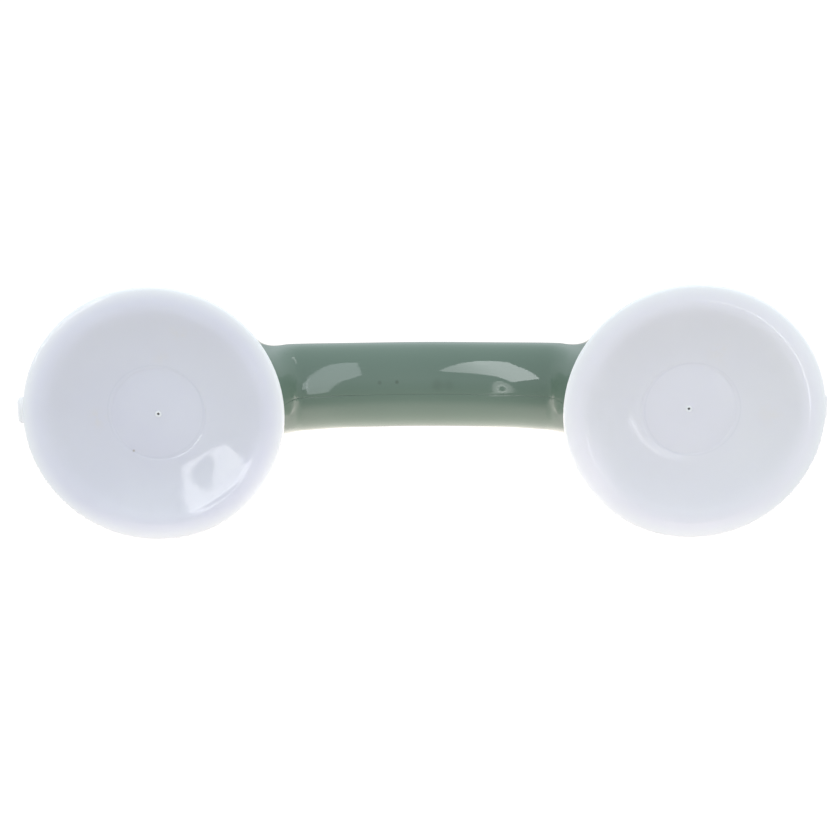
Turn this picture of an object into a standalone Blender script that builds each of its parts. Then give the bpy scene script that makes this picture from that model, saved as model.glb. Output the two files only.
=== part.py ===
"""Suction grab bar: an arched two-shell handle with a suction cup and a flip lever at each end.

The row frame is the wall's: the wall is the plane y = 0, the bar runs along X, Z is up and the handle stands
out towards -Y. "Depth" below means distance out from the wall, which is -y. Each end is built in its own
frame, an empty on the cup's axis whose local X points outboard, local Z points away from the wall and local Y
lies across the bar, so the same functions build both ends.
"""

import math

import bmesh
import bpy
from mathutils import Matrix, Vector

MM = 0.001

# ---- driving dimensions, millimetres ----
CUP_X = 97.0  # distance from the bar's middle to each cup's axis
CUP_R = 47.0
LIP_IN_R = 40.4  # the flat sealing lip runs from here to the edge
DISC_R = 17.3  # flat central disc of the cup
DISH_DEPTH = 5.8
DISC_DEPTH = 6.5
CUP_TOP = 10.0  # depth of the cup's centre face, where the stem's foot is bonded
TAB_W = 9.0  # pull tab on the outboard edge
TAB_OUT = 3.0

BELL_R = 41.5  # bell housing over each cup
RIM = 3.8  # depth of the bell's rim
SKIRT = 9.0  # depth where the bell's straight skirt ends
CROWN = 58.2  # depth of the handle's front at the middle
ARCH_POWER = 0.74
GRIP_HALF_W = 16.1  # half of the grip's width at the middle
GRIP_FLARE = 0.7
GRIP_HALF_D = 14.7  # half of the grip's thickness, wall to front
FILLET_R = 11.0  # where the grip's sides run into the bells
WALL = 2.5
SEAM = 0.30  # gap between the two shells on the parting plane

NEST_HALF_W = 11.3  # recess for the lever
NEST_DEPTH = 3.6
NEST_FLOOR = 2.2
WELL_IN = 8.0  # the nest's open well, inboard and outboard of the cup's axis
WELL_OUT = 11.6

PIN_D = 31.6  # depth of the lever's pin
PIN_R = 1.75
BORE_R = 2.05
PIN_HALF = 8.0
CAM_LOCKED = 8.0  # pin to cam face, lever locked
CAM_OPEN = 3.8  # pin to cam face, lever open
OPEN_ANGLE = math.radians(90)
CHEEK_IN = 3.6
CHEEK_OUT = 8.4
LEVER_HALF_W = 10.8
LEVER_T = 3.0
LEVER_TIP = 45.0  # lever's tip, outboard of the pin
TRAVEL = CAM_LOCKED - CAM_OPEN

GAP = 0.3
SEAT_D = PIN_D - CAM_LOCKED - GAP  # front face of the cam plate
CAM_PLATE_T = 1.2
DECK_D = SEAT_D - CAM_PLATE_T - GAP  # front face of the pressure plate's hat
DECK_T = 2.4
HAT_R = 17.0
HAT_IN_R = 15.2
PLATE_R = 37.5
PLATE_T = 2.4

STEM_R = 5.0
STEM_SHOULDER = 23.0
STEM_HEAD_R = 4.1
STEM_HEAD_HALF = 3.2
FOOT_R = 14.0
FOOT_T = 2.0

SCREW_POS = 19.0  # screws sit at (+-19, +-19) from the cup's axis
BOSS_R = 3.4
BOSS_D = 13.4  # wall-side end of the shell bosses
SCREW_HEAD_D = 8.9
SCREW_HEAD_R = 2.9
SCREW_HEAD_T = 1.8
SCREW_R = 1.4
SCREW_END = 21.5

SPRING_R = 7.9
SPRING_WIRE = 0.5
SPRING_TURNS = 4.25

# colours (linear RGB), roughness, metallic
FINISHES = {
    "sage_abs": ((0.22, 0.30, 0.26), 0.16, 0.0),
    "cup_rubber": ((0.66, 0.68, 0.74), 0.32, 0.0),
    "white_abs": ((0.78, 0.79, 0.80), 0.25, 0.0),
    "white_pom": ((0.74, 0.75, 0.74), 0.35, 0.0),
    "steel": ((0.58, 0.58, 0.60), 0.28, 1.0),
}


# ---- scene helpers ----
def clear_scene():
    for obj in list(bpy.data.objects):
        bpy.data.objects.remove(obj, do_unlink=True)


def collection(name, hidden=False):
    made = bpy.data.collections.new(name)
    bpy.context.scene.collection.children.link(made)
    made.hide_render = hidden
    return made


def finishes():
    made = {}
    for name, (colour, roughness, metallic) in FINISHES.items():
        material = bpy.data.materials.new(name)
        material.use_nodes = True
        shader = material.node_tree.nodes["Principled BSDF"]
        shader.inputs["Base Color"].default_value = (*colour, 1.0)
        shader.inputs["Roughness"].default_value = roughness
        shader.inputs["Metallic"].default_value = metallic
        made[name] = material
    return made


clear_scene()
PARTS = collection("suction_grab_bar")
CUTTERS = collection("cutters", hidden=True)
FINISH = finishes()


def add(name, mesh, finish=None, frame=None, smooth=32):
    """An object of this mesh: a part if it has a finish, a cutter if not."""
    obj = bpy.data.objects.new(name, mesh)
    (PARTS if finish else CUTTERS).objects.link(obj)
    if finish:
        mesh.materials.clear()
        mesh.materials.append(FINISH[finish])
        mesh.shade_smooth()
        mesh.set_sharp_from_angle(angle=math.radians(smooth))
    else:
        obj.hide_render = True
        obj.display_type = "WIRE"
    obj.parent = frame
    return obj


def mesh_from(name, build, outward=True):
    bm = bmesh.new()
    build(bm)
    if outward:
        bmesh.ops.recalc_face_normals(bm, faces=bm.faces)
    mesh = bpy.data.meshes.new(name)
    bm.to_mesh(mesh)
    bm.free()
    return mesh


def boolean(obj, cutter, operation="DIFFERENCE"):
    modifier = obj.modifiers.new(f"{operation.lower()}_{cutter.name}", "BOOLEAN")
    modifier.operation = operation
    modifier.object = cutter
    modifier.solver = "EXACT"
    return modifier


def cylinder(name, radius, low, high, at=(0.0, 0.0), segments=24, finish=None, frame=None, along="Z"):
    """A cylinder from low to high along local Z at (x, y), or along local Y at (x, z)."""

    def build(bm):
        bmesh.ops.create_cone(
            bm, cap_ends=True, segments=segments, radius1=radius * MM, radius2=radius * MM, depth=(high - low) * MM
        )
        bmesh.ops.rotate(bm, verts=bm.verts, matrix=Matrix.Rotation(math.pi / segments, 3, "Z"))
        middle = (low + high) / 2
        if along == "Y":
            bmesh.ops.rotate(bm, verts=bm.verts, matrix=Matrix.Rotation(math.pi / 2, 3, "X"))
            shift = (at[0], middle, at[1])
        else:
            shift = (at[0], at[1], middle)
        bmesh.ops.translate(bm, verts=bm.verts, vec=Vector(shift) * MM)

    return add(name, mesh_from(name, build), finish, frame)


def box(name, low, high, finish=None, frame=None):
    def build(bm):
        size = [high[i] - low[i] for i in range(3)]
        middle = [(high[i] + low[i]) / 2 for i in range(3)]
        bmesh.ops.create_cube(bm, size=1.0)
        bmesh.ops.scale(bm, verts=bm.verts, vec=Vector(size) * MM)
        bmesh.ops.translate(bm, verts=bm.verts, vec=Vector(middle) * MM)

    return add(name, mesh_from(name, build), finish, frame)


def outline(name, points, low, high, plane="XZ", finish=None, frame=None):
    """A flat outline given in local XZ, run along local Y from low to high, or given in XY and run along Z."""
    curve = bpy.data.curves.new(name, "CURVE")
    curve.dimensions = "2D"
    curve.fill_mode = "BOTH"
    curve.extrude = (high - low) / 2 * MM
    spline = curve.splines.new("POLY")
    spline.points.add(len(points) - 1)
    for point, (x, y) in zip(spline.points, points):
        point.co = (x * MM, y * MM, 0.0, 1.0)
    spline.use_cyclic_u = True
    guide = bpy.data.objects.new(name + "_guide", curve)
    CUTTERS.objects.link(guide)
    guide.hide_render = True
    bpy.context.view_layer.update()
    graph = bpy.context.evaluated_depsgraph_get()
    mesh = bpy.data.meshes.new_from_object(guide.evaluated_get(graph))
    bpy.data.objects.remove(guide, do_unlink=True)
    bm = bmesh.new()
    bm.from_mesh(mesh)
    bmesh.ops.remove_doubles(bm, verts=bm.verts, dist=1e-6)
    if plane == "XZ":
        bmesh.ops.rotate(bm, verts=bm.verts, matrix=Matrix.Rotation(math.pi / 2, 3, "X"))
        bmesh.ops.translate(bm, verts=bm.verts, vec=(0.0, (low + high) / 2 * MM, 0.0))
    else:
        bmesh.ops.translate(bm, verts=bm.verts, vec=(0.0, 0.0, (low + high) / 2 * MM))
    bmesh.ops.recalc_face_normals(bm, faces=bm.faces)
    bm.to_mesh(mesh)
    bm.free()
    mesh.name = name
    return add(name, mesh, finish, frame)


def turned(name, profile, steps, finish=None, frame=None):
    """A turned shape about local Z from a (radius, depth) profile, listed down its outer side."""
    closed = profile[0][0] > 1e-9 or profile[-1][0] > 1e-9
    mesh = bpy.data.meshes.new(name)
    count = len(profile)
    edges = [(i, i + 1) for i in range(count - 1)] + ([(count - 1, 0)] if closed else [])
    mesh.from_pydata([(r * MM, 0.0, d * MM) for r, d in profile], edges, [])
    obj = add(name, mesh, finish, frame)
    screw = obj.modifiers.new("turn", "SCREW")
    screw.angle = math.tau
    screw.steps = steps
    screw.render_steps = steps
    screw.use_merge_vertices = True
    screw.merge_threshold = 0.00001
    screw.use_smooth_shade = True
    return obj


# ---- the handle's outer form ----
def smoothstep(low, high, value):
    t = min(max((value - low) / (high - low), 0.0), 1.0)
    return t * t * (3 - 2 * t)


TIP = CUP_X + BELL_R
GRIP_END_W = GRIP_HALF_W + GRIP_FLARE
FILLET_X = CUP_X - math.sqrt((BELL_R - GRIP_END_W) * (BELL_R + GRIP_END_W + 2 * FILLET_R))
TANGENT_COS = (CUP_X - FILLET_X) / (BELL_R + FILLET_R)
TANGENT_X = CUP_X - BELL_R * TANGENT_COS


def front(x):
    """Depth of the handle's front on its middle line."""
    u = min(abs(x) / TIP, 1.0)
    return SKIRT + (CROWN - SKIRT) * (1 - u * u) ** ARCH_POWER


def half_depth(x):
    return GRIP_HALF_D + 0.5 * min(abs(x) / 50.0, 1.0) ** 2


def half_width(x, inset=0.0):
    """Half of the outline's width, seen from the wall."""
    x = abs(x)
    if x < FILLET_X:
        return GRIP_HALF_W + GRIP_FLARE * smoothstep(0.0, 1.0, (x / FILLET_X) ** 2) - inset
    if x < TANGENT_X:
        r = FILLET_R
        return GRIP_END_W + r - math.sqrt(r * r - (x - FILLET_X) ** 2) - inset
    radius = BELL_R - inset
    return math.sqrt(max(radius * radius - (x - CUP_X) ** 2, 0.0))


def widest(x):
    """Depth at which the section is widest."""
    x = abs(x)
    grip = front(x) - half_depth(x)
    return grip + (SKIRT - grip) * smoothstep(FILLET_X - 2, 72.0, x)


def section(x, inset, count):
    """Points (x, y, z) of the closed section at x: up one side and down the other."""
    ax = abs(x)
    top = front(ax) - inset * 1.08
    grip_back = front(ax) - 2 * half_depth(ax) + inset
    if inset:
        back = grip_back + (RIM - 6.0 - grip_back) * smoothstep(50.5, 60.5, ax)
    else:
        back = grip_back + (RIM - grip_back) * smoothstep(46.0, 57.0, ax)
    middle = min(widest(ax), top)
    wide = half_width(ax, inset)
    power = 2 + 9 * smoothstep(52.0, 74.0, ax)
    side = []
    for i in range(count + 1):
        angle = math.pi * (i / count - 0.5)
        c, s = math.cos(angle), math.sin(angle)
        if s < 0:
            e = 2 / power
            y, d = wide * max(c, 0.0) ** e, middle - (middle - back) * (-s) ** e
        else:
            y, d = wide * max(c, 0.0), middle + (top - middle) * s
        side.append((y if 0 < i < count else 0.0, d))
    return [(x, -d, y) for y, d in side] + [(x, -d, -y) for y, d in reversed(side[1:-1])]


def stations(inset, bell_steps):
    """Stations along the bar, from the middle to the outboard end of the bell."""
    radius = BELL_R - inset
    found = [0.0, 11.0, 22.0, 33.0, 42.0, 46.0, 48.2, 50.4, FILLET_X, 53.9, 55.4, 57.2, 59.4]
    start = math.acos(-(CUP_X - TANGENT_X) / radius) if CUP_X - TANGENT_X < radius else math.pi * 0.8
    for i in range(bell_steps + 1):
        angle = start * (1 - i / bell_steps)
        found.append(CUP_X + radius * math.cos(angle))
    return sorted(found)


def loft(name, inset, count, bell_steps, frame=None):
    """The handle's closed form: sections lofted from one end of the bar to the other."""
    half = stations(inset, bell_steps)
    along = [-x for x in reversed(half[1:])] + half

    def build(bm):
        rings = [[bm.verts.new(Vector(p) * MM) for p in section(x, inset, count)] for x in along]
        for a, b in zip(rings, rings[1:]):
            for i in range(len(a)):
                j = (i + 1) % len(a)
                bm.faces.new((a[i], a[j], b[j], b[i]))
        bmesh.ops.remove_doubles(bm, verts=bm.verts, dist=2e-6)
        bmesh.ops.dissolve_degenerate(bm, edges=bm.edges, dist=1e-6)

    return add(name, mesh_from(name, build), None, frame)


# ---- the lever's outline, in the end's frame, (outboard, depth) ----
def lever_top(u):
    """Front face of the lever: flush with the housing, then lifted to a finger tip."""
    lift = 31.0
    if u <= lift:
        return front(CUP_X + u)
    start = front(CUP_X + lift)
    slope = (start - front(CUP_X + lift - 0.2)) / 0.2
    t = (u - lift) / (LEVER_TIP - lift)
    end, end_slope, run = 15.6, -0.10, LEVER_TIP - lift
    h00, h10 = 2 * t**3 - 3 * t**2 + 1, t**3 - 2 * t**2 + t
    h01, h11 = -2 * t**3 + 3 * t**2, t**3 - t**2
    return h00 * start + h10 * run * slope + h01 * end + h11 * run * end_slope


def roll_over():
    """The circle about the pin that the lever's front face runs into: its radius and the angle it starts at."""
    best = min(
        (math.hypot(u / 20, front(CUP_X + u / 20) - PIN_D), math.atan2(front(CUP_X + u / 20) - PIN_D, u / 20))
        for u in range(0, 200)
    )
    return best


ROLL_R, ROLL_ANGLE = roll_over()


def cam_point(normal_angle):
    """A point of the involute cam face, whose distance from the pin falls evenly as the lever opens."""
    rate = TRAVEL / OPEN_ANGLE
    reach = CAM_LOCKED - rate * (-math.pi / 2 - normal_angle)
    n = (math.cos(normal_angle), math.sin(normal_angle))
    t = (-math.sin(normal_angle), math.cos(normal_angle))
    return (reach * n[0] + rate * t[0], PIN_D + reach * n[1] + rate * t[1])


def roll_arc(radius, steps=7):
    """The rounded heel, from the front face back to the flat that rests on the cam plate when open."""
    stop = math.acos(-CAM_OPEN / radius)
    return [
        (radius * math.cos(a), PIN_D + radius * math.sin(a))
        for a in (ROLL_ANGLE + (stop - ROLL_ANGLE) * i / steps for i in range(steps + 1))
    ]


def cheek_outline():
    points = [cam_point(-math.pi + math.pi / 2 * i / 10) for i in range(11)]
    points += [(6.2, PIN_D - 6.0), (8.8, PIN_D - 3.2), (11.0, lever_top(11.0) - LEVER_T * 0.5)]
    points += [(u, lever_top(u) - 0.6) for u in (8.0, 5.0)]
    return points + roll_arc(ROLL_R)


def tab_outline():
    lower = 4.9  # clears the stem's head, and its shank when the lever stands open
    upper = [(u, lever_top(u)) for u in (45.0, 42.0, 39.0, 36.0, 33.0, 30.0, 26.0, 22.0, 18.0, 14.0, 10.0, 6.0)]
    arc = roll_arc(ROLL_R)
    clear = STEM_HEAD_R + 0.5
    stop = math.pi - math.asin(clear / lower)
    under = [(-CAM_OPEN, PIN_D + clear)] + [
        (lower * math.cos(a), PIN_D + lower * math.sin(a))
        for a in (stop + (ROLL_ANGLE - stop) * i / 4 for i in range(5))
    ]
    thick = [(u, lever_top(u) - LEVER_T) for u in (8.0, 12.0, 16.0, 20.0, 24.0, 28.0, 31.0, 34.0, 37.0, 40.0, 43.0)]
    return upper + arc + under + thick + [(45.0, lever_top(45.0) - 2.0)]


def plan_outline():
    """The lever seen from the front: straight sides and a full round tip."""
    points = [(-12.0, -LEVER_HALF_W), (32.0, -LEVER_HALF_W)]
    for i in range(1, 16):
        a = -math.pi / 2 + math.pi * i / 16
        points.append((32.0 + (LEVER_TIP - 32.0) * math.cos(a) ** 0.8, LEVER_HALF_W * math.sin(a)))
    return points + [(32.0, LEVER_HALF_W), (-12.0, LEVER_HALF_W)]


# ---- the cup's turned form ----
def cup_under(r):
    if r >= LIP_IN_R:
        return 0.0
    s = max(r - DISC_R - 1.0, 0.0) / (LIP_IN_R - DISC_R - 1.0)
    return DISH_DEPTH * (1 - s * s)


def cup_over(r):
    return cup_under(r) + 3.0 - 0.4 * smoothstep(DISC_R, CUP_R, r)


def cup_profile():
    over = [(0.0, CUP_TOP), (14.5, CUP_TOP), (DISC_R, 9.4), (19.5, cup_over(19.5))]
    over += [(r, cup_over(r)) for r in (27.0, 34.0, LIP_IN_R)]
    edge = [(46.2, 2.5), (CUP_R, 1.4), (46.4, 0.0), (LIP_IN_R, 0.0)]
    under = [(r, cup_under(r)) for r in (36.0, 31.0, 25.0, 19.0)]
    return over + edge + under + [(DISC_R, DISH_DEPTH), (DISC_R - 0.6, DISC_DEPTH), (0.0, DISC_DEPTH)]


def plate_profile():
    over = [(HAT_R, DECK_D), (HAT_R, 12.6), (27.0, 11.2), (PLATE_R, 7.6)]
    under = [(r, cup_over(r) + 0.6) for r in (PLATE_R, 29.0, 19.5)] + [(HAT_IN_R, 10.6)]
    return over + under + [(HAT_IN_R, DECK_D - DECK_T), (5.5, DECK_D - DECK_T), (5.5, DECK_D)]


# ---- one end ----
def make_end(side, frame):
    tag = "_" + side

    cup = turned("suction_cup" + tag, cup_profile(), 40, "cup_rubber", frame)
    tab = outline(
        "tab_form" + tag,
        [(44.0, -TAB_W / 2), (CUP_R + TAB_OUT - 1.6, -TAB_W / 2), (CUP_R + TAB_OUT - 0.4, -TAB_W / 2 + 1.2),
         (CUP_R + TAB_OUT, -1.5), (CUP_R + TAB_OUT, 1.5), (CUP_R + TAB_OUT - 0.4, TAB_W / 2 - 1.2),
         (CUP_R + TAB_OUT - 1.6, TAB_W / 2), (44.0, TAB_W / 2)],
        0.9, 2.3, "XY", None, frame,
    )
    boolean(cup, tab, "UNION")

    stem = turned(
        "stem" + tag,
        [(0.0, STEM_SHOULDER), (STEM_R - 0.5, STEM_SHOULDER), (STEM_R, STEM_SHOULDER - 0.5),
         (STEM_R, CUP_TOP + GAP + FOOT_T), (FOOT_R - 0.6, CUP_TOP + GAP + FOOT_T),
         (FOOT_R, CUP_TOP + GAP + FOOT_T - 0.6), (FOOT_R, CUP_TOP + GAP), (0.0, CUP_TOP + GAP)],
        32, "white_pom", frame,
    )
    arc = [
        (STEM_HEAD_R * math.cos(a), PIN_D + STEM_HEAD_R * math.sin(a))
        for a in (math.pi * i / 12 for i in range(13))
    ]
    head = outline(
        "stem_head" + tag, [(STEM_HEAD_R, STEM_SHOULDER - 3)] + arc + [(-STEM_HEAD_R, STEM_SHOULDER - 3)],
        -STEM_HEAD_HALF, STEM_HEAD_HALF, "XZ", None, frame,
    )
    boolean(stem, head, "UNION")
    boolean(stem, cylinder("stem_bore" + tag, BORE_R, -6, 6, (0.0, PIN_D), 20, None, frame, "Y"))

    lever = outline("lever" + tag, tab_outline(), -LEVER_HALF_W - 1, LEVER_HALF_W + 1, "XZ", "white_abs", frame)
    boolean(lever, outline("lever_plan" + tag, plan_outline(), 0.0, 60.0, "XY", None, frame), "INTERSECT")
    for name, low, high in (("a", CHEEK_IN, CHEEK_OUT), ("b", -CHEEK_OUT, -CHEEK_IN)):
        cheek = outline("cheek_" + name + tag, cheek_outline(), low, high, "XZ", None, frame)
        boolean(lever, cheek, "UNION")
    boolean(lever, cylinder("lever_bore" + tag, BORE_R, -8.9, 8.9, (0.0, PIN_D), 20, None, frame, "Y"))

    pin = cylinder("lever_pin" + tag, PIN_R, -PIN_HALF, PIN_HALF, (0.0, PIN_D), 20, "steel", frame, "Y")
    bevel = pin.modifiers.new("chamfer", "BEVEL")
    bevel.width = 0.3 * MM
    bevel.segments = 1
    bevel.limit_method = "ANGLE"

    corner = 2.0
    rounded = []
    for cx, cy, start in ((9.0, 9.2, 0), (-7.0, 9.2, 90), (-7.0, -9.2, 180), (9.0, -9.2, 270)):
        for i in range(4):
            a = math.radians(start + 30 * i)
            rounded.append(
                (cx - math.copysign(corner, cx) + corner * math.cos(a), cy - math.copysign(corner, cy) + corner * math.sin(a))
            )
    cam_plate = outline("cam_plate" + tag, rounded, DECK_D + GAP, DECK_D + GAP + CAM_PLATE_T, "XY", "steel", frame)
    boolean(cam_plate, cylinder("cam_plate_bore" + tag, 5.5, 15, 30, (0.0, 0.0), 24, None, frame))

    plate = turned("pressure_plate" + tag, plate_profile(), 28, "white_abs", frame)
    n = 0
    for sx, sy in ((1, 1), (1, -1), (-1, 1), (-1, -1)):
        n += 1
        at = (sx * SCREW_POS, sy * SCREW_POS)
        pad = cylinder(f"plate_pad_{n}{tag}", 4.6, 10.4, BOSS_D - GAP, at, 14, None, frame)
        boolean(plate, pad, "UNION")
        boolean(plate, cylinder(f"plate_sink_{n}{tag}", 3.3, 2.0, SCREW_HEAD_D + SCREW_HEAD_T + GAP, at, 14, None, frame))
        boolean(plate, cylinder(f"plate_hole_{n}{tag}", SCREW_R + GAP + 0.05, 8.0, 16.0, at, 12, None, frame))
        make_screw(f"screw_{n}{tag}", at, frame)

    make_spring("return_spring" + tag, frame)


def make_screw(name, at, frame):
    """A pan-head screw, driven from the wall side, with a cross recess."""
    low, high = SCREW_HEAD_D, SCREW_HEAD_D + SCREW_HEAD_T
    obj = turned(
        name,
        [(0.0, SCREW_END), (0.5, SCREW_END), (SCREW_R, SCREW_END - 2.0), (SCREW_R, high), (SCREW_HEAD_R, high),
         (SCREW_HEAD_R, low + 0.8), (SCREW_HEAD_R - 0.7, low + 0.1), (1.2, low), (0.0, low)],
        12, "steel", frame,
    )
    obj.location = (at[0] * MM, at[1] * MM, 0.0)
    for tag, sx, sy in (("a", 1.5, 0.35), ("b", 0.35, 1.5)):
        cut = box(f"{name}_recess_{tag}", (-sx, -sy, low - 1.0), (sx, sy, low + 1.0), None, frame)
        cut.location = obj.location
        boolean(obj, cut)


def make_spring(name, frame):
    """The compression spring between the stem's foot and the underside of the hat."""
    low = CUP_TOP + GAP + FOOT_T + GAP + SPRING_WIRE
    high = DECK_D - DECK_T - GAP - SPRING_WIRE
    curve = bpy.data.curves.new(name, "CURVE")
    curve.dimensions = "3D"
    curve.bevel_depth = SPRING_WIRE * MM
    curve.bevel_resolution = 2
    curve.use_fill_caps = True
    count = int(SPRING_TURNS * 11) + 1
    spline = curve.splines.new("POLY")
    spline.points.add(count - 1)
    for i, point in enumerate(spline.points):
        t = i / (count - 1)
        a = math.tau * SPRING_TURNS * t
        d = low + (high - low) * (0.10 * t + 0.90 * smoothstep(0.0, 1.0, t) * 0.55 + 0.90 * 0.45 * t)
        point.co = (SPRING_R * math.cos(a) * MM, SPRING_R * math.sin(a) * MM, d * MM, 1.0)
    obj = bpy.data.objects.new(name, curve)
    curve.materials.append(FINISH["steel"])
    PARTS.objects.link(obj)
    obj.parent = frame


# ---- the two shells ----
def make_shells(frames):
    outer = loft("handle_form", 0.0, 11, 12)
    cavity = loft("cavity_form", WALL, 8, 9)
    nests, cuts = [], []
    for side, frame in frames.items():
        tag = "_" + side
        us = [-10.6, -4.0, 2.0, 8.0, 14.0, 20.0, 26.0, 31.0, 36.0, 41.0, 60.0]
        floor = [(u, max(front(CUP_X + u) - NEST_DEPTH - NEST_FLOOR, 11.4 - NEST_FLOOR)) for u in us]
        block = outline(
            "nest_block" + tag, floor + [(60.0, 80.0), (us[0], 80.0)],
            -NEST_HALF_W - NEST_FLOOR, NEST_HALF_W + NEST_FLOOR, "XZ", None, frame,
        )
        boolean(cavity, block)
        for n, (sx, sy) in enumerate(((1, 1), (1, -1), (-1, 1), (-1, -1)), 1):
            at = (sx * SCREW_POS, sy * SCREW_POS)
            boolean(cavity, cylinder(f"boss_{n}{tag}", BOSS_R, BOSS_D, 80.0, at, 14, None, frame))
            cuts.append(cylinder(f"pilot_{n}{tag}", SCREW_R + GAP, 8.0, SCREW_END + 1.0, at, 12, None, frame))
        us = [-WELL_IN, -2.0, 4.0, 10.0, 16.0, 22.0, 28.0, 33.0, 37.0, 41.0, 60.0]
        bed = [(u, max(front(CUP_X + u) - NEST_DEPTH, 11.4)) for u in us]
        nests.append(
            outline("nest" + tag, bed + [(60.0, 90.0), (us[0], 90.0)], -NEST_HALF_W, NEST_HALF_W, "XZ", None, frame)
        )
        cuts.append(box("well" + tag, (-WELL_IN, -NEST_HALF_W, 11.0), (WELL_OUT, NEST_HALF_W, 70.0), None, frame))
    upper = add("handle_shell_upper", outer.data.copy(), "sage_abs", None, 40)
    boolean(upper, cavity)
    for cut in nests + cuts:
        boolean(upper, cut)
    half = box("upper_half", (-200.0, -100.0, SEAM / 2), (200.0, 20.0, 80.0))
    boolean(upper, half, "INTERSECT")

    # the lower shell is the upper one mirrored in the parting plane
    bpy.context.view_layer.update()
    graph = bpy.context.evaluated_depsgraph_get()
    mesh = bpy.data.meshes.new_from_object(upper.evaluated_get(graph))
    mesh.name = "handle_shell_lower"
    bm = bmesh.new()
    bm.from_mesh(mesh)
    bmesh.ops.scale(bm, verts=bm.verts, vec=(1.0, 1.0, -1.0))
    bmesh.ops.reverse_faces(bm, faces=bm.faces)
    bm.to_mesh(mesh)
    bm.free()
    add("handle_shell_lower", mesh, "sage_abs", None, 40)


def main():
    frames = {}
    for side, sign in (("left", -1), ("right", 1)):
        frame = bpy.data.objects.new("end_" + side, None)
        PARTS.objects.link(frame)
        turn = Matrix.Rotation(math.pi / 2, 4, "X")
        if sign < 0:
            turn = turn @ Matrix.Rotation(math.pi, 4, "Z")
        frame.matrix_world = Matrix.Translation((sign * CUP_X * MM, 0.0, 0.0)) @ turn
        frames[side] = frame
    bpy.context.view_layer.update()
    make_shells(frames)
    for side, frame in frames.items():
        make_end(side, frame)


main()
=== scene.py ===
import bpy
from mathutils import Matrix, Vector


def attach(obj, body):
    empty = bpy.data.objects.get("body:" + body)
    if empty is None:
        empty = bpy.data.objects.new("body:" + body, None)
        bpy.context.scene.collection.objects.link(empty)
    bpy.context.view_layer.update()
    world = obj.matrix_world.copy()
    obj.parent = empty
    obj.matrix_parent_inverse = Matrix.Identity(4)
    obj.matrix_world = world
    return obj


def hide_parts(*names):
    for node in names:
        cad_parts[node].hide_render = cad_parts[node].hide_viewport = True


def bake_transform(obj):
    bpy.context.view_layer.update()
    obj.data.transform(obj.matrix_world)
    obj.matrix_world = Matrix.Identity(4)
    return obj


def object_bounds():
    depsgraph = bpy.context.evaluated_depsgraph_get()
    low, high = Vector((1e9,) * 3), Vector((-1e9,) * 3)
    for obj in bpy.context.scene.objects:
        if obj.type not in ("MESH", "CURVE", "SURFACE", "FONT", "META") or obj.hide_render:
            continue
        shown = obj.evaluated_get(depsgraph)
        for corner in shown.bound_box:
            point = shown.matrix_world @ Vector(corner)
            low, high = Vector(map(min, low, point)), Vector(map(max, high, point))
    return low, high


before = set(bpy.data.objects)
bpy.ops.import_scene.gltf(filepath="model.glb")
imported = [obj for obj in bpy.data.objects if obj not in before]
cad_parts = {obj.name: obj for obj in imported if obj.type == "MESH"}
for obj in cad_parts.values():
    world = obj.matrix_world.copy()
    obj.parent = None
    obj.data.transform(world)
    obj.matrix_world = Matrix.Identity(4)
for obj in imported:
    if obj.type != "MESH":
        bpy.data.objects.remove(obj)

"""Looks for the suction grab bar.

The row frame is the wall's: the wall is the plane y = 0, the bar runs along X, Z is up, and the handle stands out
towards -Y. "Depth" is distance out from the wall, -y. Each end is modelled in its own frame, (outboard, across,
depth), and turned into the row frame by end_matrix. Sizes are in millimetres until a mesh is made.
"""

import math

import bmesh
import bpy
import numpy as np
from mathutils import Matrix, Vector

MM = 0.001
CAD_BOX = [list(corner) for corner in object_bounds()]

# ---- sizes that the CAD settles, millimetres ----
CUP_X, CUP_R, LIP_IN_R, DISC_R = 97.0, 47.0, 40.4, 17.3
DISH_DEPTH, CUP_TOP, TAB_W, TAB_OUT = 5.8, 10.0, 9.0, 3.0
BELL_R, RIM, SKIRT, CROWN, ARCH_POWER = 41.5, 3.8, 9.0, 58.2, 0.74
GRIP_HALF_W, GRIP_FLARE, GRIP_HALF_D, FILLET_R, WALL = 16.1, 0.7, 14.7, 11.0, 2.5
NEST_HALF_W, NEST_DEPTH, NEST_FLOOR, WELL_IN, WELL_OUT = 11.3, 3.6, 2.2, 8.0, 11.6
PIN_D, BORE_R, CAM_LOCKED, CAM_OPEN, OPEN_ANGLE = 31.6, 2.05, 8.0, 3.8, math.pi / 2
CHEEK_IN, CHEEK_OUT, LEVER_HALF_W, LEVER_T, LEVER_TIP = 3.6, 8.4, 10.8, 3.0, 45.0
TRAVEL = CAM_LOCKED - CAM_OPEN
GAP, SCREW_POS, BOSS_R, BOSS_D, SCREW_R, SCREW_END = 0.3, 19.0, 3.4, 13.4, 1.4, 21.5
STEM_HEAD_R, FOOT_T, SPRING_R, SPRING_WIRE, SPRING_TURNS = 4.1, 2.0, 7.9, 0.5, 4.25
DECK_UNDER = 19.4  # depth of the underside of the pressure plate's hat

# ---- finer detail that only the looks have ----
PART_GAP = 0.02  # from the parting plane to each shell
PART_EDGE = (0.06, 0.17)  # radius that the mould leaves on the parting edge, least and most
DISC_DROP = 0.22  # the cup's middle disc is sunk this far into the dish
DISC_OFF = {"left": (1.3, 0.25), "right": (-0.95, -0.9)}  # X and Z by which each disc is moulded off the middle
TAB_PROUD, TAB_WIDE, TAB_LIFT = {"left": 0.45, "right": 1.75}, 9.6, 2.0  # the pull tab: how far it stands out of the lip, and how far above the middle it sits
DRAFT = 0.03  # the halves draw apart along Z, so each leans back a little from the parting line
NEST_EDGE = 0.7  # radius round the lever's recess


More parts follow.
